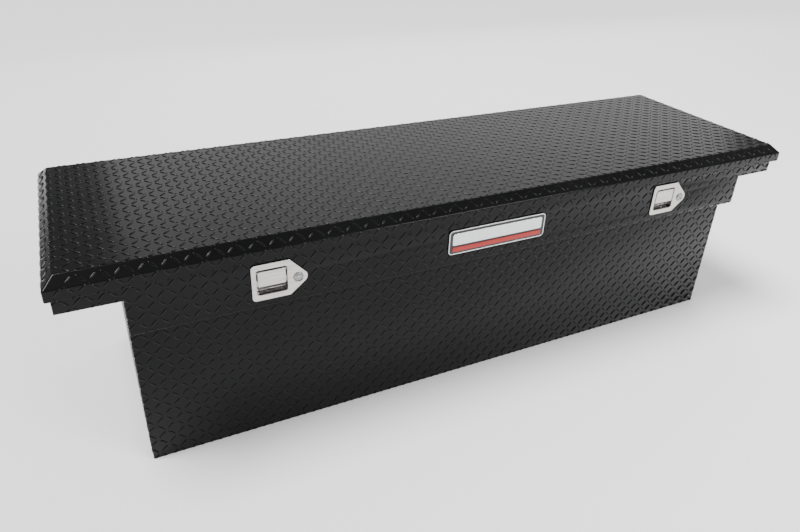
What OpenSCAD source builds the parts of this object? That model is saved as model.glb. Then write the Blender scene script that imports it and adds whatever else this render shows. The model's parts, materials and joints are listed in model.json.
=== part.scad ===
// Low-profile crossover tool box for a pickup bed: a tread-plate tub that hangs between the bed
// rails on two saddles, with one full-length gas-lifted lid and two keyed paddle latches.
// X runs along the box, the front faces -Y and Z is up. The origin lies on the plane of the
// tub's floor, under the middle of the lid.

/* [Lid] */
// Length of the lid
lid_l = 1772; // [1500:1:1900]
// Depth of the lid, front to back
lid_w = 527; // [500:1:560]
// Height from the underside of the floor to the top of the lid
total_h = 490; // [480:1:520]
// How far the folded edge comes in from the lid's outline
bevel_in = 20; // [14:1:26]
// How far the folded edge drops
bevel_drop = 19; // [14:1:20]
// Height of the upright lip below the folded edge
lip_h = 22; // [20:1:26]

/* [Tub] */
// Thickness of the aluminium tread plate
sheet = 2; // [1.5:0.1:2.5]
// Length of the tub over its end panels
tub_l = 1533; // [1300:1:1640]
// Length over the two saddles
saddle_l = 1755; // [1480:1:1860]
// Height of the saddles' undersides above the underside of the floor
saddle_z = 414.5; // [400:0.5:418]
// Height of the ledge under the latch rail
ledge_z = 337.5; // [320:0.5:345]
// Height of the top of the rim
rim_z = 455; // [453:0.5:456]
// Set-back of the latch rail behind the lid's front edge
rail_back = 16; // [12:1:20]
// Set-back of the lower front panel behind the lid's front edge
front_back = 52; // [46:1:60]
// Set-back of the back panel from the lid's back edge
rear_back = 14; // [13:0.5:16]
// Width of the in-turned rim flange
rim_w = 16; // [14:1:20]

/* [Latches] */
// Distance of each latch dish from the middle of the box
latch_x = 504; // [400:1:600]
// Height of the middle of the latch dishes
latch_z = 394.5; // [392:0.5:396]
// Width of the dish opening
dish_w = 60; // [56:1:64]
// Height of the dish opening
dish_h = 53; // [50:1:56]
// Angle that a claw turns through to hook its striker
claw_turn = 35; // [30:1:38]

/* [Fixing holes] */
// Distance between the fixing holes of the two saddles
hole_span_x = 1644; // [1600:1:1680]
// Distance between the two fixing holes of one saddle
hole_span_y = 360; // [200:1:420]
// Radius of a fixing hole, for a clamp bolt
hole_r = 5.5; // [4:0.5:7]

/* [Badge] */
// Width of the plain name plate
badge_w = 250; // [200:1:280]
// Height of the plain name plate
badge_h = 58; // [50:1:64]
// Middle of the name plate from the middle of the box
badge_x = 8; // [-20:1:20]

/* [Hidden] */
$fn = 48;
eps = 1;

// Planes of the sheet-metal faces
front_y = -lid_w / 2;
back_y = lid_w / 2;
rail_y = front_y + rail_back;
panel_y = front_y + front_back;
rear_y = back_y - rear_back;
tub_x = tub_l / 2;
saddle_x = saddle_l / 2;
lid_x = lid_l / 2;
bend_z = total_h - bevel_drop;
lip_z = bend_z - lip_h;
pan_z = bend_z - 5;
seal_gap = 0.3;
seal_w = 10;

// Piano hinge
hinge_y = rear_y + 6;
hinge_z = lip_z - 3;
hinge_l = 1500;
knuckle_r = 3.7;
knuckle_pitch = 50;
knuckle_gap = 0.4;
leaf_t = 1.6;
hinge_pin_r = 2;
running = 0.05;
leaf_drop = 34;
rivet_pitch = 100;
rivet_r = 2;
rivet_head_r = 3.5;
rivet_head_t = 1.2;

// Latch: local frame at the dish's middle on the rail's outer face, x right, z up, y inwards
gasket_t = 1;
plate_t = 2;
plate_y = -gasket_t - plate_t;
dish_deep = 16.5;
dish_t = 1.5;
dish_end_y = plate_y + dish_deep + dish_t;
plate_left = 40;
plate_half = 40;
plate_shoulder = 38;
lock_at = [52, -3.5];
stud_at = [[-35, 34], [-35, -34], [34, 34], [34, -34]];
stud_r = 2.5;
paddle_pivot = [1.5, 20];
paddle_pin_r = 1.5;
tail_x = 14;
tail_w = 3;
tail_slot = [12.5, -4, 6, 21];
barrel_r = 9;
bezel_r = 10.8;
plug_r = 6;
cam_len = 30;
cam_t = 2.5;
rail_joints = [-60, 90];
rail_slit = 0.1;
claw_x = -8;
claw_t = 6;
claw_pivot = [42.5, 10.5];
claw_pin_r = 2.5;
bar_r = 4;
bar_up = 27;
hook_in = bar_up + bar_r + 0.5;
hook_out = hook_in + 6.5;
striker_y = rail_y + claw_pivot[0];
striker_z = latch_z + claw_pivot[1] + bar_up;

// Gas struts
strut_x = 742;
strut_low = [195.5, 266];
strut_high = [5.5, 454];
strut_run = [strut_high[0] - strut_low[0], strut_high[1] - strut_low[1]];
strut_len = norm(strut_run);
strut_tilt = atan2(strut_run[1], strut_run[0]);
tube_r = 9;
tube_t = 1.4;
rod_r = 4;
gland_clear = 0.1;
eye_r = 8.5;
eye_w = 12;
pivot_r = 5;
tube_from = 20;
tube_to = 215;
piston_from = 36;
bracket_x = 754;

// ---------------------------------------------------------------- helpers

// A flat outline in X and Z, made solid from y0 to y1
module along_y(y0, y1) {
    translate([0, y1, 0])
        rotate([90, 0, 0])
            linear_extrude(y1 - y0)
                children();
}

// A flat outline in Y and Z, made solid from x0 to x1
module along_x(x0, x1) {
    translate([x0, 0, 0])
        rotate([90, 0, 90])
            linear_extrude(x1 - x0)
                children();
}

module block(low, high) {
    translate(low)
        cube(high - low);
}

module rod_x(x0, x1, y, z, r) {
    translate([x0, y, z])
        rotate([0, 90, 0])
            cylinder(h = x1 - x0, r = r);
}

module rod_y(y0, y1, x, z, r) {
    translate([x, y0, z])
        rotate([-90, 0, 0])
            cylinder(h = y1 - y0, r = r);
}

module rod_z(z0, z1, x, y, r) {
    translate([x, y, z0])
        cylinder(h = z1 - z0, r = r);
}

module round_rect(w, h, r) {
    square([w - 2 * r, h], center = true);
    square([w, h - 2 * r], center = true);
    for (sx = [-1, 1], sz = [-1, 1])
        translate([sx * (w / 2 - r), sz * (h / 2 - r)])
            circle(r);
}

module at_latch(side) {
    translate([side * latch_x, rail_y, latch_z])
        children();
}

// Outline of the stainless latch plate: a rectangle that tapers to a round tip at the lock
module plate_outline(inset) {
    corner_r = 8;
    shoulder_r = 4;
    tip_r = 15;
    hull() {
        for (sz = [-1, 1]) {
            translate([-plate_left + corner_r, sz * (plate_half - corner_r)])
                circle(corner_r - inset, $fn = 32);
            translate([plate_shoulder - shoulder_r, sz * (plate_half - shoulder_r)])
                circle(shoulder_r - inset, $fn = 32);
        }
        translate([lock_at[0] + 4, lock_at[1]])
            circle(tip_r - inset, $fn = 32);
    }
}

// T-shaped face: the tub's length below the saddles, the saddles' length above them
module tee_outline(z_low) {
    polygon([
        [-tub_x, z_low], [tub_x, z_low], [tub_x, saddle_z], [saddle_x, saddle_z],
        [saddle_x, rim_z], [-saddle_x, rim_z], [-saddle_x, saddle_z], [-tub_x, saddle_z]
    ]);
}

// ---------------------------------------------------------------- tub

module bottom_panel() {
    color("#26282a")
        block([-tub_x + sheet, panel_y + sheet, 0], [tub_x - sheet, rear_y - sheet, sheet]);
}

// The lower front panel runs up behind the ledge of the latch rail
module front_panel() {
    lap = 15;
    inner = tub_x - sheet;
    color("#26282a") {
        block([-tub_x, panel_y, 0], [tub_x, panel_y + sheet, ledge_z + sheet]);
        block([-inner, panel_y, ledge_z], [inner, panel_y + sheet, ledge_z + sheet + lap]);
    }
}

module back_panel() {
    color("#26282a")
        difference() {
            union() {
                along_y(rear_y - sheet, rear_y)
                    tee_outline(0);
                block([-saddle_x + sheet, rear_y - rim_w - sheet, rim_z - sheet],
                      [saddle_x - sheet, rear_y - sheet, rim_z]);
            }
            box_rivet_holes();
        }
}

module end_panel(side) {
    inner = tub_x - sheet;
    color("#26282a")
        mirror([side < 0 ? 1 : 0, 0, 0])
            difference() {
                along_x(inner, tub_x)
                    polygon([
                        [panel_y + sheet, 0], [rear_y - sheet, 0],
                        [rear_y - sheet, saddle_z + sheet], [rail_y + sheet, saddle_z + sheet],
                        [rail_y + sheet, ledge_z + sheet], [panel_y + sheet, ledge_z + sheet]
                    ]);
                for (p = anchor_rivet_at)
                    rod_x(inner - eps, tub_x + eps, p[0], p[1], rivet_r + running);
            }
}

module end_panel_left() {
    end_panel(-1);
}

module end_panel_right() {
    end_panel(1);
}

// Upper front: the face that carries the latches, the ledge under it and the rim flange on top.
// A hairline each side of a latch parts it into short lengths, which butt together.
module front_rail() {
    color("#26282a")
        difference() {
            union() {
                along_y(rail_y, rail_y + sheet)
                    tee_outline(ledge_z);
                block([-tub_x, rail_y + sheet, ledge_z], [tub_x, panel_y, ledge_z + sheet]);
                block([-saddle_x + sheet, rail_y + sheet, rim_z - sheet],
                      [saddle_x - sheet, rail_y + sheet + rim_w, rim_z]);
            }
            for (side = [-1, 1])
                at_latch(side) {
                    rail_openings();
                    for (x = rail_joints)
                        block([x - rail_slit / 2, -eps, ledge_z - latch_z - eps],
                              [x + rail_slit / 2, front_back - rail_back + eps,
                               rim_z - latch_z + eps]);
                }
        }
}

// What a latch passes through the rail: its dish, its lock and its four studs
module rail_openings() {
    ease = 2;
    block([-dish_w / 2 - dish_t - ease / 2, -eps, -dish_h / 2 - dish_t - ease / 2],
          [dish_w / 2 + dish_t + ease / 2, sheet + eps, dish_h / 2 + dish_t + ease / 2]);
    rod_y(-eps, sheet + eps, lock_at[0], lock_at[1], barrel_r + 0.6);
    for (p = stud_at)
        rod_y(-eps, sheet + eps, p[0], p[1], stud_r + 0.3);
}

// One saddle: the shelf that lies on the bed rail, its end wall and its rim flange
module saddle(side) {
    y0 = rail_y + sheet;
    y1 = rear_y - sheet;
    color("#26282a")
        mirror([side < 0 ? 1 : 0, 0, 0])
            difference() {
                union() {
                    block([tub_x, y0, saddle_z], [saddle_x, y1, saddle_z + sheet]);
                    block([saddle_x - sheet, y0, saddle_z], [saddle_x, y1, rim_z]);
                    block([saddle_x - sheet - rim_w, y0 + rim_w, rim_z - sheet],
                          [saddle_x, y1 - rim_w, rim_z]);
                }
                for (sy = [-1, 1])
                    rod_z(saddle_z - eps, saddle_z + sheet + eps,
                          hole_span_x / 2, sy * hole_span_y / 2, hole_r);
            }
}

module saddle_left() {
    saddle(-1);
}

module saddle_right() {
    saddle(1);
}

// Hollow bulb seal in four lengths, laid on the rim with mitre gaps at the corners
module seal_section() {
    bulb_r = 4.7;
    top = pan_z - seal_gap;
    difference() {
        union() {
            translate([-seal_w / 2, rim_z])
                square([seal_w, 4]);
            translate([0, top - bulb_r])
                circle(bulb_r);
        }
        translate([0, top - bulb_r])
            circle(3);
    }
}

module weather_seal() {
    front_line = rail_y + sheet + rim_w / 2;
    back_line = rear_y - sheet - rim_w / 2;
    end_line = saddle_x - sheet - rim_w / 2;
    corner_gap = 1;
    color("#151515") {
        for (y = [front_line, back_line])
            along_x(-end_line - seal_w / 2, end_line + seal_w / 2)
                translate([y, 0])
                    seal_section();
        for (side = [-1, 1])
            along_y(front_line + seal_w / 2 + corner_gap, back_line - seal_w / 2 - corner_gap)
                translate([side * end_line, 0])
                    seal_section();
    }
}

// ---------------------------------------------------------------- piano hinge

module knuckles(first) {
    last = hinge_l / knuckle_pitch - 1;
    for (i = [first : 2 : last])
        rod_x(-hinge_l / 2 + i * knuckle_pitch + knuckle_gap / 2,
              -hinge_l / 2 + (i + 1) * knuckle_pitch - knuckle_gap / 2,
              hinge_y, hinge_z, knuckle_r);
}

// The strip of leaf that wraps under (side 1) or over (side -1) each knuckle
module knuckle_webs(first, y_leaf, z0) {
    last = hinge_l / knuckle_pitch - 1;
    y_low = min(y_leaf, hinge_y);
    y_high = max(y_leaf, hinge_y);
    for (i = [first : 2 : last])
        block([-hinge_l / 2 + i * knuckle_pitch + knuckle_gap / 2, y_low, z0],
              [-hinge_l / 2 + (i + 1) * knuckle_pitch - knuckle_gap / 2, y_high,
               z0 + knuckle_r - hinge_pin_r - running]);
}

module hinge_bore() {
    rod_x(-hinge_l / 2 - eps, hinge_l / 2 + eps, hinge_y, hinge_z, hinge_pin_r + running);
}

rivet_count = floor((hinge_l - rivet_pitch) / rivet_pitch / 2);
rivet_x = [for (i = [-rivet_count : rivet_count]) i * rivet_pitch];
box_rivet_z = hinge_z - leaf_drop + 12;
lid_rivet_z = hinge_z + 12;

module box_rivet_holes() {
    for (x = rivet_x)
        rod_y(rear_y - sheet - eps, rear_y + leaf_t + eps, x, box_rivet_z, rivet_r + running);
}

module lid_rivet_holes() {
    for (x = rivet_x)
        rod_y(back_y - sheet - leaf_t - eps, back_y + eps, x, lid_rivet_z, rivet_r + running);
}

module hinge_leaf_box() {
    color("#8d9094")
        difference() {
            union() {
                block([-hinge_l / 2, rear_y, hinge_z - leaf_drop],
                      [hinge_l / 2, rear_y + leaf_t, hinge_z]);
                knuckles(0);
                knuckle_webs(0, rear_y + leaf_t / 2, hinge_z - knuckle_r);
            }
            hinge_bore();
            box_rivet_holes();
        }
}

module hinge_leaf_lid() {
    y1 = back_y - sheet;
    color("#8d9094")
        difference() {
            union() {
                block([-hinge_l / 2, y1 - leaf_t, hinge_z], [hinge_l / 2, y1, pan_z]);
                knuckles(1);
                knuckle_webs(1, y1 - leaf_t / 2, hinge_z + hinge_pin_r + running);
            }
            hinge_bore();
            lid_rivet_holes();
        }
}

module hinge_pin() {
    color("#b9bcc0")
        rod_x(-hinge_l / 2, hinge_l / 2, hinge_y, hinge_z, hinge_pin_r);
}

// A rivet along Y: its head's face is at y_head, pointing along dir, and its shank is len long
module rivet_y(x, z, y_head, dir, len) {
    translate([x, y_head, z])
        rotate([dir * 90, 0, 0]) {
            cylinder(h = rivet_head_t, r1 = rivet_head_r, r2 = rivet_head_r - 1);
            translate([0, 0, -len])
                cylinder(h = len + rivet_head_t / 2, r = rivet_r);
        }
}

module hinge_rivets_box() {
    color("#b9bcc0")
        for (x = rivet_x) {
            rivet_y(x, box_rivet_z, rear_y + leaf_t, -1, leaf_t + sheet);
            rod_y(rear_y - sheet - 1, rear_y - sheet, x, box_rivet_z, rivet_r + 0.8);
        }
}

module hinge_rivets_lid() {
    color("#b9bcc0")
        for (x = rivet_x)
            rivet_y(x, lid_rivet_z, back_y - sheet - leaf_t, 1, leaf_t + sheet);
}

// ---------------------------------------------------------------- latches

// Stainless pressing: the face plate, the dish behind it and the four studs
module latch_pan(side) {
    color("#c9cbcc")
        at_latch(side)
            difference() {
                union() {
                    along_y(plate_y, -gasket_t)
                        plate_outline(0);
                    along_y(plate_y, dish_end_y)
                        round_rect(dish_w + 2 * dish_t, dish_h + 2 * dish_t, 6);
                    for (p = stud_at)
                        rod_y(-gasket_t, 9, p[0], p[1], stud_r);
                }
                along_y(plate_y - eps, dish_end_y - dish_t)
                    round_rect(dish_w, dish_h, 4.5);
                block([tail_slot[0], dish_end_y - dish_t - eps, tail_slot[1]],
                      [tail_slot[0] + tail_slot[2], dish_end_y + eps, tail_slot[1] + tail_slot[3]]);
                rod_y(plate_y - eps, 0, lock_at[0], lock_at[1], barrel_r + running);
                rod_x(-dish_w / 2 - dish_t - eps, dish_w / 2 + dish_t + eps,
                      paddle_pivot[0], paddle_pivot[1], paddle_pin_r + running);
            }
}

module latch_pan_left() {
    latch_pan(-1);
}

module latch_pan_right() {
    latch_pan(1);
}

module latch_gasket(side) {
    color("#151515")
        at_latch(side)
            difference() {
                along_y(-gasket_t, 0)
                    plate_outline(1);
                along_y(-gasket_t - eps, eps)
                    square([dish_w + 2 * dish_t + 0.6, dish_h + 2 * dish_t + 0.6], center = true);
                rod_y(-gasket_t - eps, eps, lock_at[0], lock_at[1], barrel_r + 0.6);
                for (p = stud_at)
                    rod_y(-gasket_t - eps, eps, p[0], p[1], stud_r + 0.3);
            }
}

module latch_gasket_left() {
    latch_gasket(-1);
}

module latch_gasket_right() {
    latch_gasket(1);
}

module latch_nuts(side) {
    nut_r = 4.6;
    nut_t = 4;
    color("#b9bcc0")
        at_latch(side)
            for (p = stud_at)
                difference() {
                    translate([p[0], sheet, p[1]])
                        rotate([-90, 0, 0])
                            cylinder(h = nut_t, r = nut_r, $fn = 6);
                    rod_y(sheet - eps, sheet + nut_t + eps, p[0], p[1], stud_r + running);
                }
}

module latch_nuts_left() {
    latch_nuts(-1);
}

module latch_nuts_right() {
    latch_nuts(1);
}

// Bracket behind the dish: two cheeks that hold the claw's pin
module latch_case(side) {
    cheek_t = 2;
    cheek_gap = claw_t / 2 + 2;
    z0 = -10;
    z1 = 24;
    y1 = claw_pivot[0] + 14;
    color("#a9acb0")
        at_latch(side)
            difference() {
                union() {
                    block([claw_x - cheek_gap - cheek_t, dish_end_y, z0],
                          [claw_x + cheek_gap + cheek_t, dish_end_y + cheek_t, z1]);
                    for (x = [claw_x - cheek_gap - cheek_t, claw_x + cheek_gap])
                        block([x, dish_end_y, z0], [x + cheek_t, y1, z1]);
                }
                rod_x(claw_x - cheek_gap - cheek_t - eps, claw_x + cheek_gap + cheek_t + eps,
                      claw_pivot[0], claw_pivot[1], claw_pin_r + running);
            }
}

module latch_case_left() {
    latch_case(-1);
}

module latch_case_right() {
    latch_case(1);
}

module claw_pin(side) {
    half = claw_t / 2 + 5;
    color("#b9bcc0")
        at_latch(side)
            rod_x(claw_x - half, claw_x + half, claw_pivot[0], claw_pivot[1], claw_pin_r);
}

module claw_pin_left() {
    claw_pin(-1);
}

module claw_pin_right() {
    claw_pin(1);
}

// Part of a ring between two radii and two angles, about the origin of a flat outline
module ring_part(r_in, r_out, a0, a1) {
    reach = r_out * 2;
    steps = 6;
    intersection() {
        difference() {
            circle(r_out);
            circle(r_in);
        }
        polygon(concat([[0, 0]], [
            for (i = [0 : steps])
                let (a = a0 + (a1 - a0) * i / steps)
                    [reach * cos(a), reach * sin(a)]
        ]));
    }
}

// Hook that turns over the striker bar. It is drawn turned back, clear of the bar.
module claw(side) {
    hub_r = 13;
    tip_a = 90 + 18 - claw_turn;
    arm_a0 = 55 - claw_turn;
    arm_a1 = 73 - claw_turn;
    color("#b9bcc0")
        at_latch(side)
            difference() {
                translate([claw_x - claw_t / 2, claw_pivot[0], claw_pivot[1]])
                    rotate([90, 0, 90])
                        linear_extrude(claw_t) {
                            circle(hub_r);
                            ring_part(hub_r - 3, hook_out, arm_a0, arm_a1);
                            ring_part(hook_in, hook_out, arm_a0, tip_a);
                        }
                rod_x(claw_x - claw_t, claw_x + claw_t,
                      claw_pivot[0], claw_pivot[1], claw_pin_r + running);
            }
}

module claw_left() {
    claw(-1);
}

module claw_right() {
    claw(1);
}

module paddle_pin(side) {
    half = dish_w / 2 + dish_t;
    color("#b9bcc0")
        at_latch(side)
            rod_x(-half, half, paddle_pivot[0], paddle_pivot[1], paddle_pin_r);
}

module paddle_pin_left() {
    paddle_pin(-1);
}

module paddle_pin_right() {
    paddle_pin(1);
}

// Pull paddle: a face plate with a turned-in lower lip, two ears on the pin and a trip tail
module paddle(side) {
    half = dish_w / 2 - 2.5;
    face_y = -2.2;
    face_t = 1.8;
    ear_t = 2;
    ear_r = 4;
    z_top = paddle_pivot[1] + ear_r;
    z_low = -12;
    tail_z = paddle_pivot[1] - 9.5;
    color("#c9cbcc")
        at_latch(side)
            difference() {
                union() {
                    block([-half, face_y, z_low], [half, face_y + face_t, z_top]);
                    block([-half, face_y, z_low], [half, face_y + 5, z_low + face_t]);
                    for (x = [-half, half - ear_t]) {
                        rod_x(x, x + ear_t, paddle_pivot[0], paddle_pivot[1], ear_r);
                        block([x, face_y, paddle_pivot[1] - 8],
                              [x + ear_t, paddle_pivot[0] + 2, paddle_pivot[1]]);
                    }
                    block([tail_x, face_y + face_t / 2, tail_z],
                          [tail_x + tail_w, paddle_pivot[0] + 20, tail_z + 3]);
                }
                rod_x(-half - eps, half + eps, paddle_pivot[0], paddle_pivot[1],
                      paddle_pin_r + running);
            }
}

module paddle_left() {
    paddle(-1);
}

module paddle_right() {
    paddle(1);
}

module lock_barrel(side) {
    color("#b9bcc0")
        at_latch(side)
            difference() {
                union() {
                    rod_y(plate_y - 1.6, plate_y, lock_at[0], lock_at[1], bezel_r);
                    rod_y(plate_y, 20, lock_at[0], lock_at[1], barrel_r);
                }
                rod_y(plate_y - 3, 21, lock_at[0], lock_at[1], plug_r + running);
            }
}

module lock_barrel_left() {
    lock_barrel(-1);
}

module lock_barrel_right() {
    lock_barrel(1);
}

module lock_nut(side) {
    nut_t = 4.5;
    color("#a9acb0")
        at_latch(side)
            difference() {
                translate([lock_at[0], sheet, lock_at[1]])
                    rotate([-90, 0, 0])
                        cylinder(h = nut_t, r = 12.7, $fn = 6);
                rod_y(0, sheet + nut_t + eps, lock_at[0], lock_at[1], barrel_r + running);
            }
}

module lock_nut_left() {
    lock_nut(-1);
}

module lock_nut_right() {
    lock_nut(1);
}

// Keyed plug, with an upright keyway at rest and a stub that carries the cam
module lock_plug(side) {
    face = plate_y - 1.4;
    rear = 24;
    color("#c9cbcc")
        at_latch(side)
            difference() {
                union() {
                    rod_y(face, rear, lock_at[0], lock_at[1], plug_r);
                    rod_y(rear, rear + cam_t + 1.5, lock_at[0], lock_at[1], 3);
                }
                block([lock_at[0] - 0.6, face - eps, lock_at[1] - 3.4],
                      [lock_at[0] + 0.6, face + 12, lock_at[1] + 3.4]);
            }
}

module lock_plug_left() {
    lock_plug(-1);
}

module lock_plug_right() {
    lock_plug(1);
}

// Cam that hangs down when unlocked and turns in front of the paddle's tail when locked
module lock_cam(side) {
    y0 = 24;
    cam_r = 7;
    color("#a9acb0")
        at_latch(side)
            difference() {
                union() {
                    rod_y(y0, y0 + cam_t, lock_at[0], lock_at[1], cam_r);
                    rod_y(y0, y0 + cam_t, lock_at[0], lock_at[1] - cam_len + cam_r, cam_r);
                    block([lock_at[0] - cam_r, y0, lock_at[1] - cam_len + cam_r],
                          [lock_at[0] + cam_r, y0 + cam_t, lock_at[1]]);
                }
                rod_y(y0 - eps, y0 + cam_t + eps, lock_at[0], lock_at[1], 3 + running);
            }
}

module lock_cam_left() {
    lock_cam(-1);
}

module lock_cam_right() {
    lock_cam(1);
}

// ---------------------------------------------------------------- name plate

module on_rail() {
    translate([badge_x, rail_y, latch_z])
        children();
}

module badge_base() {
    color("#1b1c1e")
        on_rail()
            along_y(-3, 0)
                round_rect(badge_w, badge_h, 9);
}

module badge_rim() {
    rim = 2;
    color("#d5d7d9")
        on_rail()
            along_y(-4, -3)
                difference() {
                    round_rect(badge_w, badge_h, 9);
                    round_rect(badge_w - 2 * rim, badge_h - 2 * rim, 7);
                }
}

module badge_panel() {
    color("#d5d7d9")
        on_rail()
            translate([0, 0, 7])
                along_y(-4.6, -3)
                    round_rect(badge_w - 18, 28, 4);
}

module badge_stripe() {
    color("#c8281e")
        on_rail()
            translate([0, 0, -17])
                along_y(-4.6, -3)
                    round_rect(badge_w - 18, 11, 2);
}

// ---------------------------------------------------------------- lid

// Half outline of the lid at depth t inside its outer surface, mirrored about the middle
module lid_outline(half, t, z_low) {
    slope = norm([bevel_in, bevel_drop]);
    x_bend = half - t;
    z_bend = bend_z - t * (slope - bevel_drop) / bevel_in;
    x_top = half - bevel_in - t * (slope - bevel_in) / bevel_drop;
    z_top = total_h - t;
    polygon([
        [-x_bend, z_low], [-x_bend, z_bend], [-x_top, z_top],
        [x_top, z_top], [x_bend, z_bend], [x_bend, z_low]
    ]);
}

module lid_block(t, z_low) {
    intersection() {
        along_x(-lid_x, lid_x)
            lid_outline(lid_w / 2, t, z_low);
        along_y(front_y, back_y)
            lid_outline(lid_x, t, z_low);
    }
}

module lid_skin() {
    color("#26282a")
        difference() {
            lid_block(0, lip_z);
            lid_block(sheet, lip_z - eps);
            lid_rivet_holes();
        }
}

// Flat inner sheet that closes the foam core and presses on the seal
module lid_pan() {
    color("#3a3c3e")
        difference() {
            block([-lid_x + sheet, front_y + sheet, pan_z],
                  [lid_x - sheet, back_y - sheet, pan_z + sheet]);
            for (p = concat(striker_screw_at, bracket_rivet_at))
                rod_z(pan_z - eps, pan_z + sheet + eps, p[0], p[1], p[2] + running);
        }
}

module lid_core() {
    edge = 24;
    color("#d8cf9a")
        block([-lid_x + edge, front_y + edge, pan_z + sheet],
              [lid_x - edge, back_y - edge, total_h - sheet]);
}

// Striker: a bar between two legs, on a plate that is screwed to the lid's inner sheet
striker_half = 22;
screw_r = 2.5;
striker_screw_at = [
    for (side = [-1, 1], dx = [-1, 1])
        [side * latch_x + claw_x + dx * (striker_half - 3), striker_y, screw_r]
];

module striker(side) {
    leg_t = 3;
    leg_x = 11;
    leg_half = 6;
    foot_half = 14;
    x0 = side * latch_x + claw_x;
    color("#b9bcc0")
        difference() {
            union() {
                block([x0 - striker_half, striker_y - foot_half, pan_z - sheet],
                      [x0 + striker_half, striker_y + foot_half, pan_z]);
                for (x = [x0 - leg_x - leg_t, x0 + leg_x])
                    block([x, striker_y - leg_half, striker_z - leg_half],
                          [x + leg_t, striker_y + leg_half, pan_z]);
                rod_x(x0 - leg_x - leg_t / 2, x0 + leg_x + leg_t / 2,
                      striker_y, striker_z, bar_r);
            }
            for (p = striker_screw_at)
                rod_z(pan_z - sheet - eps, pan_z + eps, p[0], p[1], p[2] + running);
        }
}

module striker_left() {
    striker(-1);
}

module striker_right() {
    striker(1);
}

module striker_screws() {
    head_r = 4;
    head_t = 2.5;
    color("#a9acb0")
        for (p = striker_screw_at) {
            rod_z(pan_z - sheet - head_t, pan_z - sheet, p[0], p[1], head_r);
            rod_z(pan_z - sheet - 1, pan_z + sheet, p[0], p[1], screw_r);
        }
}

// ---------------------------------------------------------------- gas struts

bracket_rivet_at = [
    for (side = [-1, 1], dy = [-1, 1])
        [side * (bracket_x + 13), strut_high[0] + dy * 12, rivet_r]
];
anchor_rivet_at = [
    for (dy = [-1, 1], dz = [-1, 1])
        [strut_low[0] + dy * 14, strut_low[1] + dz * 14]
];

// Angle plate under the lid; the stud of the rod's end stops just short of it
module strut_bracket(side) {
    ear_t = 3;
    flange = 22;
    half = 20;
    color("#a9acb0")
        mirror([side < 0 ? 1 : 0, 0, 0])
            difference() {
                union() {
                    block([bracket_x, strut_high[0] - half, pan_z - sheet],
                          [bracket_x + flange, strut_high[0] + half, pan_z]);
                    block([bracket_x, strut_high[0] - 11, strut_high[1] - 9],
                          [bracket_x + ear_t, strut_high[0] + 11, pan_z]);
                }
                for (dy = [-1, 1])
                    rod_z(pan_z - sheet - eps, pan_z + eps,
                          bracket_x + 13, strut_high[0] + dy * 12, rivet_r + running);
            }
}

module strut_bracket_left() {
    strut_bracket(-1);
}

module strut_bracket_right() {
    strut_bracket(1);
}

module bracket_rivets() {
    color("#b9bcc0")
        for (p = bracket_rivet_at) {
            translate([p[0], p[1], pan_z - sheet - rivet_head_t])
                cylinder(h = rivet_head_t, r1 = rivet_head_r - 1, r2 = rivet_head_r);
            rod_z(pan_z - sheet - rivet_head_t / 2, pan_z + sheet, p[0], p[1], rivet_r);
        }
}

// Plate and stud on the inside of the end panel, with a clip that keeps the strut on
module strut_anchor(side) {
    inner = tub_x - sheet;
    plate = 2.5;
    half = 20;
    clip_x = strut_x - eye_w / 2 - 0.5;
    color("#a9acb0")
        mirror([side < 0 ? 1 : 0, 0, 0])
            difference() {
                union() {
                    block([inner - plate, strut_low[0] - half, strut_low[1] - half],
                          [inner, strut_low[0] + half, strut_low[1] + half]);
                    rod_x(clip_x - 3, inner - plate / 2, strut_low[0], strut_low[1], pivot_r);
                    rod_x(clip_x - 2, clip_x, strut_low[0], strut_low[1], pivot_r + 2);
                    rod_x(strut_x + eye_w / 2 + 0.5, inner - plate / 2,
                          strut_low[0], strut_low[1], pivot_r + 3);
                }
                for (p = anchor_rivet_at)
                    rod_x(inner - plate - eps, inner + eps, p[0], p[1], rivet_r + running);
            }
}

module strut_anchor_left() {
    strut_anchor(-1);
}

module strut_anchor_right() {
    strut_anchor(1);
}

module anchor_rivets() {
    inner = tub_x - sheet;
    plate = 2.5;
    color("#b9bcc0")
        for (side = [-1, 1], p = anchor_rivet_at)
            mirror([side < 0 ? 1 : 0, 0, 0]) {
                translate([inner - plate - rivet_head_t, p[0], p[1]])
                    rotate([0, 90, 0])
                        cylinder(h = rivet_head_t, r1 = rivet_head_r - 1, r2 = rivet_head_r);
                rod_x(inner - plate - rivet_head_t / 2, tub_x, p[0], p[1], rivet_r);
            }
}

// Frame along a strut: z runs from its lower pivot to its upper one
module along_strut(side) {
    translate([side * strut_x, strut_low[0], strut_low[1]])
        rotate([strut_tilt - 90, 0, 0])
            children();
}

// Eye on the pivot line of the strut's frame, at height z
module strut_eye(z) {
    translate([-eye_w / 2, 0, z])
        rotate([0, 90, 0])
            cylinder(h = eye_w, r = eye_r);
}

module strut_tube(side) {
    gland = 8;
    color("#1c1d1f")
        along_strut(side)
            difference() {
                union() {
                    strut_eye(0);
                    cylinder(h = tube_from + eps, r = 5);
                    translate([0, 0, tube_from])
                        cylinder(h = tube_to - tube_from, r = tube_r);
                }
                translate([0, 0, tube_from + 6])
                    cylinder(h = tube_to - tube_from - 6 - gland, r = tube_r - tube_t);
                translate([0, 0, tube_to - gland - eps])
                    cylinder(h = gland + 2 * eps, r = rod_r + gland_clear);
                translate([-eye_w, 0, 0])
                    rotate([0, 90, 0])
                        cylinder(h = 2 * eye_w, r = pivot_r + running);
            }
}

module strut_tube_left() {
    strut_tube(-1);
}

module strut_tube_right() {
    strut_tube(1);
}

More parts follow.
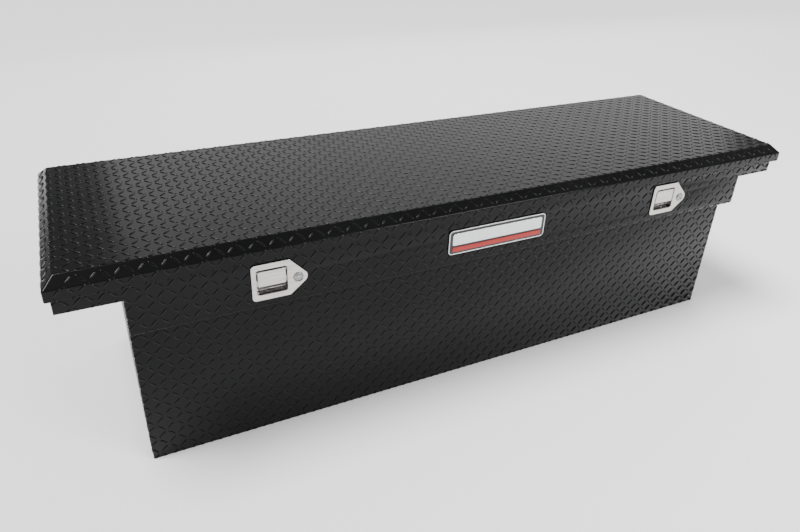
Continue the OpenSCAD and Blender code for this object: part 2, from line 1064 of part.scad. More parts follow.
// Rod with its piston, upper eye and the stud that points at the lid's bracket
module strut_rod(side) {
    stud_end = bracket_x - 0.5 - strut_x;
    color("#c9cbcc")
        along_strut(side) {
            translate([0, 0, piston_from])
                cylinder(h = 12, r = tube_r - tube_t - 0.2);
            translate([0, 0, piston_from])
                cylinder(h = strut_len - piston_from, r = rod_r);
            translate([0, 0, tube_to + 6])
                cylinder(h = strut_len - tube_to - 6, r = 5.5);
            strut_eye(strut_len);
            translate([side > 0 ? -eye_w / 2 - 2 : -stud_end, 0, strut_len])
                rotate([0, 90, 0])
                    cylinder(h = stud_end + eye_w / 2 + 2, r = pivot_r);
        }
}

module strut_rod_left() {
    strut_rod(-1);
}

module strut_rod_right() {
    strut_rod(1);
}

// ---------------------------------------------------------------- nodes

bottom_panel();
front_panel();
back_panel();
end_panel_left();
end_panel_right();
front_rail();
saddle_left();
saddle_right();
weather_seal();
hinge_leaf_box();
hinge_pin();
hinge_rivets_box();
latch_pan_left();
latch_pan_right();
latch_gasket_left();
latch_gasket_right();
latch_nuts_left();
latch_nuts_right();
latch_case_left();
latch_case_right();
claw_pin_left();
claw_pin_right();
paddle_pin_left();
paddle_pin_right();
lock_barrel_left();
lock_barrel_right();
lock_nut_left();
lock_nut_right();
strut_anchor_left();
strut_anchor_right();
anchor_rivets();
badge_base();
badge_rim();
badge_panel();
badge_stripe();
lid_skin();
lid_pan();
lid_core();
hinge_leaf_lid();
hinge_rivets_lid();
striker_left();
striker_right();
striker_screws();
strut_bracket_left();
strut_bracket_right();
bracket_rivets();
paddle_left();
paddle_right();
lock_plug_left();
lock_plug_right();
lock_cam_left();
lock_cam_right();
claw_left();
claw_right();
strut_tube_left();
strut_tube_right();
strut_rod_left();
strut_rod_right();
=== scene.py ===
"""Looks of the truck tool box: tread plate, folded sheet, latches, name plate and studio."""

import json
import math

import bmesh
import bpy
import numpy as np
from mathutils import Matrix, Vector

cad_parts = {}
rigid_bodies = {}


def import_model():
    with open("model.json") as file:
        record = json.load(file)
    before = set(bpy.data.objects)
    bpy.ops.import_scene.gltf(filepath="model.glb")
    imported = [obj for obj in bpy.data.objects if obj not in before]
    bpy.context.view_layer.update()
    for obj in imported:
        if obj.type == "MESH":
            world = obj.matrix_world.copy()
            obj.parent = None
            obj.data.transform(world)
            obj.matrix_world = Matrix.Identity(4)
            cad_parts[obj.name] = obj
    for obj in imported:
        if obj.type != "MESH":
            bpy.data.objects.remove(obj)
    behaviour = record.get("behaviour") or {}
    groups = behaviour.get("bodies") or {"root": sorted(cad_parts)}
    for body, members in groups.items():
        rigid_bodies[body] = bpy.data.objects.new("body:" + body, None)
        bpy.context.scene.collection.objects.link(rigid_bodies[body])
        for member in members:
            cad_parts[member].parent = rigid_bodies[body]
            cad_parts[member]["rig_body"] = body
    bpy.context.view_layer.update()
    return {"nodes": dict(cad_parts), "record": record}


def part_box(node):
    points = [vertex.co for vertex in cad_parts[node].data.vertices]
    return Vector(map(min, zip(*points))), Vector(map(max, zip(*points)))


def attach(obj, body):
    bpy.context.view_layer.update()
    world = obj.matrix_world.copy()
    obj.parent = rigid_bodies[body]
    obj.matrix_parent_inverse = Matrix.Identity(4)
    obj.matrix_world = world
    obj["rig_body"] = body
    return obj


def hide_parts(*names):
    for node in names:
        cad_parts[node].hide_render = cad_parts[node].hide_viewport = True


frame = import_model()
NODES = frame["nodes"]
MM = 0.001
SIDES = ("left", "right")

# ---------------------------------------------------------------- sizes read from the frame

lid_low, lid_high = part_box("lid_skin")
rail_low, rail_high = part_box("front_rail")
panel_low, panel_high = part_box("front_panel")
back_low, back_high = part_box("back_panel")
saddle_low, saddle_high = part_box("saddle_right")

SHEET = panel_high.y - panel_low.y
LID_X, LID_Y, LID_TOP, LIP_Z = lid_high.x, lid_high.y, lid_high.z, lid_low.z
TUB_X, SADDLE_X = panel_high.x, saddle_high.x
RAIL_Y, PANEL_Y, REAR_Y = rail_low.y, panel_low.y, back_high.y
LEDGE_Z, RIM_Z, SHELF_Z = rail_low.z, rail_high.z, saddle_low.z
RIM_W = back_high.y - SHEET - back_low.y

BEVEL_IN = 20 * MM
BEVEL_DROP = 19 * MM
BEND_Z = LID_TOP - BEVEL_DROP
FOLD_R = 5 * MM
BEND_R = 3.5 * MM
EDGE_R = 0.4 * MM
HOLE_R = 5.5 * MM
HOLE_X, HOLE_Y = 822 * MM, 180 * MM
CLEAR = 10 * MM

TREAD_PITCH = 19.05 * MM
TREAD_LENGTH = 21.5 * MM
TREAD_WIDTH = 4.8 * MM
TREAD_HEIGHT = 1.3 * MM
TREAD_SINK = 0.2 * MM
EDGE = 0.5 * MM  # the bars stop this far from a sheet's cut edge
BEND = 4 * MM  # and this far from a bend that they don't run over
WIDE_FACE = 0.002  # square metres

NOISE_LOW, NOISE_HIGH = 0.3, 0.7  # the part of a noise's range that the materials use

# ---------------------------------------------------------------- materials


def shader(name, **values):
    """A material whose Principled shader has these socket values. Returns it with its tree."""
    material = bpy.data.materials.new(name)
    material.use_nodes = True
    tree = material.node_tree
    principled = next(n for n in tree.nodes if n.type == "BSDF_PRINCIPLED")
    for key, value in values.items():
        socket = principled.inputs[key.replace("_", " ")]
        socket.default_value = (*value, 1) if hasattr(value, "__len__") else value
    return material, tree, principled


def object_noise(tree, scale, detail=2.0, stretch=(1, 1, 1)):
    """Noise in the object's own coordinates. scale is in cycles per metre."""
    place = tree.nodes.new("ShaderNodeTexCoord")
    mapping = tree.nodes.new("ShaderNodeMapping")
    mapping.inputs["Scale"].default_value = stretch
    noise = tree.nodes.new("ShaderNodeTexNoise")
    noise.inputs["Scale"].default_value = scale
    noise.inputs["Detail"].default_value = detail
    tree.links.new(place.outputs["Object"], mapping.inputs["Vector"])
    tree.links.new(mapping.outputs["Vector"], noise.inputs["Vector"])
    return noise.outputs["Fac"]


def spread(tree, fac, low, high, socket):
    """Drives a shader's number from noise, between low and high."""
    node = tree.nodes.new("ShaderNodeMapRange")
    node.inputs["From Min"].default_value = NOISE_LOW
    node.inputs["From Max"].default_value = NOISE_HIGH
    node.inputs["To Min"].default_value = low
    node.inputs["To Max"].default_value = high
    tree.links.new(fac, node.inputs["Value"])
    tree.links.new(node.outputs["Result"], socket)


def tint(tree, fac, dark, light, socket):
    """Drives a shader's colour from noise, between two colours."""
    ramp = tree.nodes.new("ShaderNodeValToRGB")
    ramp.color_ramp.elements[0].position = NOISE_LOW
    ramp.color_ramp.elements[1].position = NOISE_HIGH
    ramp.color_ramp.elements[0].color = (*dark, 1)
    ramp.color_ramp.elements[1].color = (*light, 1)
    tree.links.new(fac, ramp.inputs["Fac"])
    tree.links.new(ramp.outputs["Color"], socket)


def relief(tree, fac, depth, principled, strength=1.0):
    """Fine relief of the surface, depth metres high."""
    bump = tree.nodes.new("ShaderNodeBump")
    bump.inputs["Strength"].default_value = strength
    bump.inputs["Distance"].default_value = depth
    tree.links.new(fac, bump.inputs["Height"])
    tree.links.new(bump.outputs["Normal"], principled.inputs["Normal"])


def powder_coat(name, dark, light, rough_low, rough_high):
    """Black powder coat: faint cloudiness, a roughness that wanders and fine orange peel."""
    material, tree, principled = shader(name, Specular_IOR_Level=0.13)
    tint(tree, object_noise(tree, 5.0), dark, light, principled.inputs["Base Color"])
    spread(tree, object_noise(tree, 9.0, 3.0), rough_low, rough_high,
           principled.inputs["Roughness"])
    relief(tree, object_noise(tree, 420.0, 1.0), 0.06 * MM, principled)
    return material


def brushed(name, colour_low, colour_high, rough_low, rough_high, stretch, depth=0.00002):
    """Metal with fine parallel polishing marks."""
    material, tree, principled = shader(name, Metallic=1.0)
    marks = object_noise(tree, 260.0, 3.0, stretch)
    tint(tree, marks, colour_low, colour_high, principled.inputs["Base Color"])
    spread(tree, marks, rough_low, rough_high, principled.inputs["Roughness"])
    relief(tree, marks, depth, principled, 0.6)
    return material


def mottled(name, colour_low, colour_high, rough_low, rough_high, metallic=0.0, scale=60.0,
            depth=0.00004):
    """Plain surface with a little cloudiness in its colour, its shine and its relief."""
    material, tree, principled = shader(name, Metallic=metallic)
    cloud = object_noise(tree, scale, 4.0)
    tint(tree, cloud, colour_low, colour_high, principled.inputs["Base Color"])
    spread(tree, cloud, rough_low, rough_high, principled.inputs["Roughness"])
    relief(tree, object_noise(tree, scale * 8, 2.0), depth, principled, 0.5)
    return material


COAT = powder_coat("powder_coat", (0.0032, 0.0033, 0.0034), (0.0052, 0.0053, 0.0055), 0.15, 0.22)
COAT_TREAD = shader("powder_coat_tread", Base_Color=(0.0042, 0.0043, 0.0045), Roughness=0.16,
                    Specular_IOR_Level=0.15)[0]
COAT_SATIN = powder_coat("powder_coat_satin", (0.014, 0.0145, 0.015), (0.02, 0.0205, 0.0215),
                         0.4, 0.5)
RUBBER = mottled("seal_rubber", (0.012, 0.012, 0.012), (0.022, 0.022, 0.022), 0.62, 0.78,
                 scale=90.0)
STAINLESS = brushed("stainless", (0.42, 0.405, 0.39), (0.56, 0.545, 0.525), 0.14, 0.26,
                    (0.06, 1, 1))
CHROME = mottled("lock_chrome", (0.24, 0.24, 0.245), (0.33, 0.33, 0.335), 0.12, 0.2, 1.0, 120.0,
                 0.00001)
HINGE_METAL = brushed("hinge_aluminium", (0.30, 0.305, 0.31), (0.40, 0.405, 0.41), 0.28, 0.4,
                      (0.05, 1, 1))
RIVET_METAL = mottled("rivet_aluminium", (0.60, 0.61, 0.62), (0.72, 0.73, 0.74), 0.28, 0.4, 1.0,
                      200.0)
ZINC = mottled("zinc_steel", (0.46, 0.47, 0.48), (0.62, 0.63, 0.64), 0.3, 0.48, 1.0, 70.0)
BADGE_BLACK = mottled("badge_black", (0.008, 0.008, 0.009), (0.013, 0.013, 0.014), 0.12, 0.2,
                      scale=40.0, depth=0.00001)
BADGE_SILVER = mottled("badge_silver", (0.60, 0.61, 0.62), (0.70, 0.71, 0.72), 0.2, 0.3, 0.85,
                       150.0, 0.00001)
BADGE_RED = mottled("badge_red", (0.34, 0.008, 0.006), (0.42, 0.012, 0.009), 0.4, 0.5,
                    scale=80.0, depth=0.00001)
FOAM = mottled("foam_core", (0.62, 0.56, 0.38), (0.74, 0.68, 0.48), 0.8, 0.92, scale=200.0,
               depth=0.0002)
STRUT_PAINT = powder_coat("strut_paint", (0.012, 0.012, 0.013), (0.018, 0.018, 0.019), 0.32, 0.42)
STRUT_ROD = brushed("strut_rod", (0.70, 0.70, 0.71), (0.80, 0.80, 0.81), 0.08, 0.16,
                    (1, 0.05, 0.05), 0.000005)

# ---------------------------------------------------------------- mesh helpers


def sharpen(mesh, angle=32):
    """Smooth shading that stays crisp at corners and leaves wide flat faces flat."""
    mesh.polygons.foreach_set("use_smooth", [p.area < WIDE_FACE for p in mesh.polygons])
    mesh.set_sharp_from_angle(angle=math.radians(angle))


def tidy_mesh(bm):
    bmesh.ops.remove_doubles(bm, verts=bm.verts, dist=1e-6)
    bmesh.ops.recalc_face_normals(bm, faces=bm.faces)


def add_piece(name, bm, material, body, replaces=(), angle=32):
    """Turns a bmesh, in row coordinates, into a piece that rides on a body."""
    mesh = bpy.data.meshes.new(name)
    bm.to_mesh(mesh)
    bm.free()
    sharpen(mesh, angle)
    mesh.materials.append(material)
    piece = bpy.data.objects.new(name, mesh)
    bpy.context.scene.collection.objects.link(piece)
    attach(piece, body)
    if replaces:
        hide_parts(*replaces)


def loft(bm, rings, capped=True):
    """Joins closed rings of equally many points into one skin, capped at its ends or not."""
    rows = [[bm.verts.new(p) for p in ring] for ring in rings]
    count = len(rows[0])
    for a, b in zip(rows, rows[1:]):
        for i in range(count):
            j = (i + 1) % count
            bm.faces.new((a[i], a[j], b[j], b[i]))
    if capped:
        bm.faces.new(rows[0][::-1])
        bm.faces.new(rows[-1])


def round_path(points, radii, segments=6, support=0.3 * MM):
    """An open 2-D path whose inner corners are arcs, with a point on the flat beside each arc."""
    path = [Vector(points[0])]
    for before, here, after, r in zip(points, points[1:], points[2:], radii):
        here = Vector(here)
        d_in = (here - Vector(before)).normalized()
        d_out = (Vector(after) - here).normalized()
        turn = d_in.angle_signed(d_out)
        if r <= 0 or abs(turn) < 1e-4:
            path.append(here)
            continue
        reach = r * math.tan(abs(turn) / 2)
        start = here - d_in * reach
        path.append(start - d_in * min(support, reach))
        side = Vector((d_in.y, -d_in.x)) if turn > 0 else Vector((-d_in.y, d_in.x))
        centre = start + side * r
        arm = start - centre
        for k in range(segments + 1):
            a = -turn * k / segments
            path.append(centre + Vector((arm.x * math.cos(a) - arm.y * math.sin(a),
                                         arm.x * math.sin(a) + arm.y * math.cos(a))))
        path.append(here + d_out * (reach + min(support, reach)))
    path.append(Vector(points[-1]))
    return path


def sheet_outline(points, radii, thickness):
    """Closed outline of a folded sheet: points is its outer face, and the sheet lies to the
    left of the way they run."""
    corners = [Vector(p) for p in points]
    inner = []
    inner_radii = []
    steps = [(b - a).normalized() for a, b in zip(corners, corners[1:])]
    left = [Vector((-d.y, d.x)) for d in steps]
    inner.append(corners[0] + left[0] * thickness)
    for i, r in enumerate(radii):
        bisector = left[i] + left[i + 1]
        inner.append(corners[i + 1] + bisector * (2 * thickness / bisector.length_squared))
        turns_left = steps[i].x * steps[i + 1].y - steps[i].y * steps[i + 1].x > 0
        inner_radii.append(max(r - thickness, 0.3 * MM) if turns_left else r + thickness)
    inner.append(corners[-1] + left[-1] * thickness)
    return round_path(corners, radii) + round_path(inner, inner_radii)[::-1]


def prism(bm, outline, axis, start, end):
    """A flat outline made solid along one axis: along X it holds (y, z), along Y it holds
    (x, z) and along Z it holds (x, y)."""
    def place(p, along):
        if axis == "x":
            return (along, p[0], p[1])
        if axis == "y":
            return (p[0], along, p[1])
        return (p[0], p[1], along)
    loft(bm, [[place(p, start) for p in outline], [place(p, end) for p in outline]])


def box_mesh(bm, low, high):
    prism(bm, [(low[0], low[1]), (high[0], low[1]), (high[0], high[1]), (low[0], high[1])],
          "z", low[2], high[2])


def disc_points(centre, radius, count):
    return [(centre[0] + radius * math.cos(2 * math.pi * i / count),
             centre[1] + radius * math.sin(2 * math.pi * i / count)) for i in range(count)]


def cut_away(bm, cutters):
    """Takes each cutter's shape out of the mesh, one after another."""
    scene = bpy.context.scene.collection
    for cutter in cutters:
        tool_mesh = bmesh.new()
        cutter(tool_mesh)
        pair = []
        for name, source in (("base", bm), ("tool", tool_mesh)):
            tidy_mesh(source)
            pair.append(bpy.data.objects.new(name, bpy.data.meshes.new(name)))
            source.to_mesh(pair[-1].data)
            source.free()
            scene.objects.link(pair[-1])
        modifier = pair[0].modifiers.new("cut", "BOOLEAN")
        modifier.operation = "DIFFERENCE"
        modifier.solver = "EXACT"
        modifier.object = pair[1]
        bpy.context.view_layer.update()
        bm = bmesh.new()
        bm.from_object(pair[0], bpy.context.evaluated_depsgraph_get())
        for o in pair:
            mesh = o.data
            bpy.data.objects.remove(o)
            bpy.data.meshes.remove(mesh)
    tidy_mesh(bm)
    return bm


def soften(bm, radius, angle=60):
    """Rounds every edge that is sharper than angle."""
    sharp = [e for e in bm.edges
             if len(e.link_faces) == 2 and e.calc_face_angle(0) > math.radians(angle)]
    bmesh.ops.bevel(bm, geom=sharp, offset=radius, offset_type="OFFSET", segments=2,
                    profile=0.5, affect="EDGES", clamp_overlap=True)
    return bm


def absorb(bm, part):
    """Adds another bmesh to this one, and frees it."""
    mesh = bpy.data.meshes.new("part")
    part.to_mesh(mesh)
    part.free()
    bm.from_mesh(mesh)
    bpy.data.meshes.remove(mesh)


def rounded_copy(node, material, radius=EDGE_R, angle=60):
    """Stands for a CAD node: the same shape, with its sharp edges rounded."""
    bm = bmesh.new()
    bm.from_mesh(NODES[node].data)
    tidy_mesh(bm)
    bmesh.ops.dissolve_limit(bm, angle_limit=math.radians(0.2), verts=bm.verts, edges=bm.edges)
    soften(bm, radius, angle)
    add_piece(node + "_soft", bm, material, NODES[node]["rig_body"], [node])


def dress(node, material):
    """Gives a CAD node its finish and its shading, and leaves its shape alone."""
    mesh = NODES[node].data
    mesh.materials.clear()
    mesh.materials.append(material)
    mesh.polygons.foreach_set("material_index", [0] * len(mesh.polygons))
    sharpen(mesh)


class Outline:
    """Convex outline round a few circles, in a flat plane, walked by the way it faces."""

    def __init__(self, circles, steps):
        self.circles = [(Vector(c), r) for c, r in circles]
        self.steps = steps

    def facings(self):
        for i in range(self.steps):
            a = 2 * math.pi * (i + 0.5) / self.steps
            yield Vector((math.cos(a), math.sin(a)))

    def walk(self, inset=0.0):
        """Points of the outline, taken in by inset, each with the way it faces."""
        points = []
        for facing in self.facings():
            centre, r = max(self.circles, key=lambda c: c[0].dot(facing) + c[1])
            points.append((centre + facing * (r - inset), facing))
        return points

    def holds(self, x, y, inset=0.0):
        """Whether a point lies inside the outline, taken in by inset."""
        for facing in self.facings():
            reach = max(c.dot(facing) + r for c, r in self.circles) - inset
            if x * facing.x + y * facing.y > reach:
                return False
        return True


def round_box(half_x, half_y, r, centre=(0, 0), steps=64):
    cx, cy = centre
    return Outline([((cx + sx * (half_x - r), cy + sy * (half_y - r)), r)
                    for sx in (-1, 1) for sy in (-1, 1)], steps)


class Fold:
    """Outer face of a folded sheet, walked by length: gives a point and the way it faces."""

    def __init__(self, points, radii):
        path = round_path(points, radii, segments=12, support=0.05 * MM)
        self.path = np.array([tuple(p) for p in path])
        steps = np.diff(self.path, axis=0)
        lengths = np.hypot(*steps.T)
        keep = np.append(True, lengths > 1e-9)
        self.path = self.path[keep]
        steps = np.diff(self.path, axis=0)
        lengths = np.hypot(*steps.T)
        self.at = np.append(0, np.cumsum(lengths))
        self.length = self.at[-1]
        facing = np.stack([steps[:, 1], -steps[:, 0]], 1) / lengths[:, None]
        corner = np.concatenate([facing[:1], (facing[1:] + facing[:-1]) / 2, facing[-1:]])
        self.facing = corner / np.hypot(*corner.T)[:, None]

    def place(self, s, h):
        """Points at length s along the fold and height h above it, as two arrays."""
        a = np.interp(s, self.at, self.path[:, 0])
        b = np.interp(s, self.at, self.path[:, 1])
        na = np.interp(s, self.at, self.facing[:, 0])
        nb = np.interp(s, self.at, self.facing[:, 1])
        size = np.hypot(na, nb)
        return a + na / size * h, b + nb / size * h


# ---------------------------------------------------------------- tread pattern


def tread_bar():
    """One raised bar along u, as points (u, v, h) and faces: a pointed oval with a round back."""
    stations = (-0.40, -0.24, 0.0, 0.24, 0.40)
    across = (-1.0, -0.68, 0.0, 0.68, 1.0)
    heights = (0.0, 0.74, 1.0, 0.74, 0.0)
    points = []
    for t in stations:
        width = TREAD_WIDTH / 2 * (1 - (2 * abs(t)) ** 2.4) ** 0.75
        crest = TREAD_HEIGHT * (1 - (2 * abs(t)) ** 4) ** 0.5
        for a, rise in zip(across, heights):
            h = crest * rise if rise else -TREAD_SINK
            points.append((t * TREAD_LENGTH, a * width, h))
    first, last = len(points), len(points) + 1
    points.append((-TREAD_LENGTH / 2, 0, -TREAD_SINK))
    points.append((TREAD_LENGTH / 2, 0, -TREAD_SINK))
    rows, columns = len(stations), len(across)
    faces = []
    for i in range(rows - 1):
        for j in range(columns - 1):
            k = i * columns + j
            faces.append((k, k + columns, k + columns + 1, k + 1))
    end = (rows - 1) * columns
    for j in range(columns - 1):
        faces.append((first, j, j + 1))
        faces.append((last, end + j + 1, end + j))
    under = [first] + [i * columns + columns - 1 for i in range(rows)]
    under += [last] + [i * columns for i in reversed(range(rows))]
    faces.append(tuple(under))
    return np.array(points), faces


BAR_POINTS, BAR_FACES = tread_bar()


def lattice(u0, u1, v0, v1, phase=(0, 0)):
    """Every bar of the checkered lattice that reaches into a rectangle, as arrays of points."""
    reach = TREAD_LENGTH / 2
    slant = math.sqrt(0.5)
    for i in range(math.floor((u0 - reach - phase[0]) / TREAD_PITCH),
                   math.ceil((u1 + reach - phase[0]) / TREAD_PITCH) + 1):
        for j in range(math.floor((v0 - reach - phase[1]) / TREAD_PITCH),
                       math.ceil((v1 + reach - phase[1]) / TREAD_PITCH) + 1):
            lean = slant if (i + j) % 2 == 0 else -slant
            u = phase[0] + i * TREAD_PITCH + BAR_POINTS[:, 0] * slant - BAR_POINTS[:, 1] * lean
            v = phase[1] + j * TREAD_PITCH + BAR_POINTS[:, 0] * lean + BAR_POINTS[:, 1] * slant
            yield np.stack([u, v, BAR_POINTS[:, 2]], 1)


def inside(bar, rect):
    return ((bar[:, 0] >= rect[0]) & (bar[:, 0] <= rect[1])
            & (bar[:, 1] >= rect[2]) & (bar[:, 1] <= rect[3]))


def add_bars(bm, bars):
    for bar in bars:
        corners = [bm.verts.new(p) for p in bar]
        for face in BAR_FACES:
            bm.faces.new([corners[k] for k in face])


def trim(bm, rect):
    """Cuts the bars in bm off at the four sides of a rectangle, as the sheet's own edges do."""
    sides = [((rect[0], 0, 0), (-1, 0, 0)), ((rect[1], 0, 0), (1, 0, 0)),
             ((0, rect[2], 0), (0, -1, 0)), ((0, rect[3], 0), (0, 1, 0))]
    for point, facing in sides:
        bmesh.ops.bisect_plane(bm, geom=bm.verts[:] + bm.edges[:] + bm.faces[:], dist=1e-7,
                               plane_co=point, plane_no=facing, clear_outer=True)
        rim = [e for e in bm.edges if e.is_boundary]
        bmesh.ops.holes_fill(bm, edges=rim, sides=0)


def flat_tread(rects, skip):
    """Bars over a flat area made of rectangles (u0, u1, v0, v1). A bar that crosses the area's
    edge is cut off there. Returns a bmesh whose points hold (u, v, height)."""
    whole = []
    cut = [[] for _ in rects]
    u0, u1 = min(r[0] for r in rects), max(r[1] for r in rects)
    v0, v1 = min(r[2] for r in rects), max(r[3] for r in rects)
    for bar in lattice(u0, u1, v0, v1):
        if skip and skip(bar):
            continue
        held = [inside(bar, r) for r in rects]
        if np.any(held, axis=0).all():
            whole.append(bar)
            continue
        most = max(range(len(rects)), key=lambda k: held[k].sum())
        if held[most].sum() > 2:
            cut[most].append(bar)
    bm = bmesh.new()
    for rect, bars in zip(rects, cut):
        part = bmesh.new()
        add_bars(part, bars)
        trim(part, rect)
        absorb(bm, part)
    add_bars(bm, whole)
    return bm


def move_points(bm, place):
    """Moves points (u, v, height) to where place, a function on arrays, puts them."""
    verts = bm.verts[:]
    co = np.array([tuple(v.co) for v in verts])
    x, y, z = place(co[:, 0], co[:, 1], co[:, 2])
    for v, px, py, pz in zip(verts, x, y, z):
        v.co = (px, py, pz)


def tread_piece(name, bm, body):
    bmesh.ops.recalc_face_normals(bm, faces=bm.faces)
    add_piece(name, bm, COAT_TREAD, body, angle=50)


def add_tread(name, rects, place, skip=None):
    """Bars on one of the tub's sheets, whose rectangles place puts where they belong."""
    bm = flat_tread(rects, skip)
    move_points(bm, place)
    tread_piece(name, bm, "box")


# ---------------------------------------------------------------- lid

LID_CORNER_R = 4 * MM
LID_PHASE = (12.95 * MM, -9.85 * MM)
SLOPE = math.hypot(BEVEL_IN, BEVEL_DROP)
RIVET_X = [i * 100 * MM for i in range(-7, 8)]
RIVET_HOLE_R = 2.05 * MM
lid_rivets_low, lid_rivets_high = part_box("hinge_rivets_lid")
LID_RIVET_Z = (lid_rivets_low.z + lid_rivets_high.z) / 2


def hinge_rivet_hole(x):
    def cut(bm):
        prism(bm, disc_points((x, LID_RIVET_Z), RIVET_HOLE_R, 16), "y", LID_Y - 2 * SHEET,
              LID_Y + SHEET)
    return cut


def build_lid_skin():
    """The lid's folded skin: bevelled all round, with an upright lip, open below."""
    inner_bend = (SHEET, BEND_Z - SHEET * (SLOPE - BEVEL_DROP) / BEVEL_IN)
    inner_top = (BEVEL_IN + SHEET * (SLOPE - BEVEL_IN) / BEVEL_DROP, LID_TOP - SHEET)
    points = [(2 * BEVEL_IN, inner_top[1]), inner_top, inner_bend, (SHEET, LIP_Z),
              (0, LIP_Z), (0, BEND_Z), (BEVEL_IN, LID_TOP), (2 * BEVEL_IN, LID_TOP)]
    inner_r, lip_r = FOLD_R - SHEET, 0.9 * MM
    radii = [inner_r, inner_r, lip_r, lip_r, FOLD_R, FOLD_R]
    bm = bmesh.new()
    rings = []
    for inset, z in round_path(points, radii):
        ring = round_box(LID_X - inset, LID_Y - inset, LID_CORNER_R, steps=32).walk()
        rings.append([(p.x, p.y, z) for p, _ in ring])
    loft(bm, rings)
    bm = cut_away(bm, [hinge_rivet_hole(x) for x in RIVET_X])
    add_piece("lid_skin_folded", bm, COAT, "lid", ["lid_skin"])


def lid_fold(half):
    """The lid's outer face from the middle over the bevel to the lip's edge, as (inset, z)."""
    return Fold([(half, LID_TOP), (BEVEL_IN, LID_TOP), (0, BEND_Z), (0, LIP_Z)],
                [FOLD_R, FOLD_R])


def build_lid_tread():
    """Bars over the top that run on over the folds. The mitred corners stay plain."""
    folds = {"x": lid_fold(LID_X), "y": lid_fold(LID_Y)}
    halves = {"x": LID_X, "y": LID_Y}
    flat = {k: halves[k] - BEVEL_IN - FOLD_R * math.tan(math.atan2(BEVEL_DROP, BEVEL_IN) / 2)
            for k in folds}
    end = {k: folds[k].length - EDGE for k in folds}
    mitre, least = 2.5 * MM, 2 * MM
    groups = {"x": [], "y": []}
    for bar in lattice(-end["x"], end["x"], -end["y"], end["y"], LID_PHASE):
        for along, across, a, b in (("x", "y", 0, 1), ("y", "x", 1, 0)):
            # along: the axis whose ends the bar may run over; across: the other one
            s = np.abs(bar[:, a])
            if s.max() < flat[along] and along == "x":
                continue
            inset, _ = folds[along].place(np.minimum(s, folds[along].length), 0)
            limit = np.where(s < flat[along], flat[across], halves[across] - inset - mitre)
            if s.min() < end[along] - least and (np.abs(bar[:, b]) <= limit).all():
                groups[along].append(bar)
                break
    bm = bmesh.new()
    for along, bars in groups.items():
        part = bmesh.new()
        add_bars(part, bars)
        wide = 2 * LID_X
        rect = ((-end["x"], end["x"], -wide, wide) if along == "x"
                else (-wide, wide, -end["y"], end["y"]))
        trim(part, rect)

        def place(u, v, h, along=along):
            s, other = (u, v) if along == "x" else (v, u)
            inset, z = folds[along].place(np.abs(s), h)
            out = np.sign(s) * (halves[along] - inset)
            return (out, other, z) if along == "x" else (other, out, z)

        move_points(part, place)
        absorb(bm, part)
    tread_piece("lid_tread", bm, "lid")


# ---------------------------------------------------------------- latches

PLATE_LEFT, PLATE_HALF, PLATE_SHOULDER = 40 * MM, 40 * MM, 38 * MM
LOCK_AT = (52 * MM, -3.5 * MM)
DISH_W, DISH_H = 60 * MM, 53 * MM
DISH_T = 1.5 * MM
LATCH_REACH = 90 * MM
STUD_X, STUD_Z = (-35 * MM, 34 * MM), (34 * MM, -34 * MM)
TAIL_X0, TAIL_X1, TAIL_GAP = 14 * MM, 17 * MM, 1.5 * MM


def latch_centre(side):
    low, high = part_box("latch_pan_" + side)
    return Vector((low.x + PLATE_LEFT, RAIL_Y, (low.z + high.z) / 2))


def plate_outline(steps=96):
    corner_r, shoulder_r, tip_r = 8 * MM, 4 * MM, 15 * MM
    circles = [((LOCK_AT[0] + 4 * MM, LOCK_AT[1]), tip_r)]
    for sz in (-1, 1):
        circles.append(((-PLATE_LEFT + corner_r, sz * (PLATE_HALF - corner_r)), corner_r))
        circles.append(((PLATE_SHOULDER - shoulder_r, sz * (PLATE_HALF - shoulder_r)),
                        shoulder_r))
    return Outline(circles, steps)


def ring_at(outline, inset, y, centre):
    return [(centre.x + p.x, centre.y + y, centre.z + p.y) for p, _ in outline.walk(inset)]


def edge_arc(r, segments=5):
    """(inset, depth) pairs of a quarter-round edge, from its face to its side."""
    return [(r * (1 - math.sin(a)), r * (1 - math.cos(a)))
            for a in (math.pi / 2 * k / segments for k in range(segments + 1))]


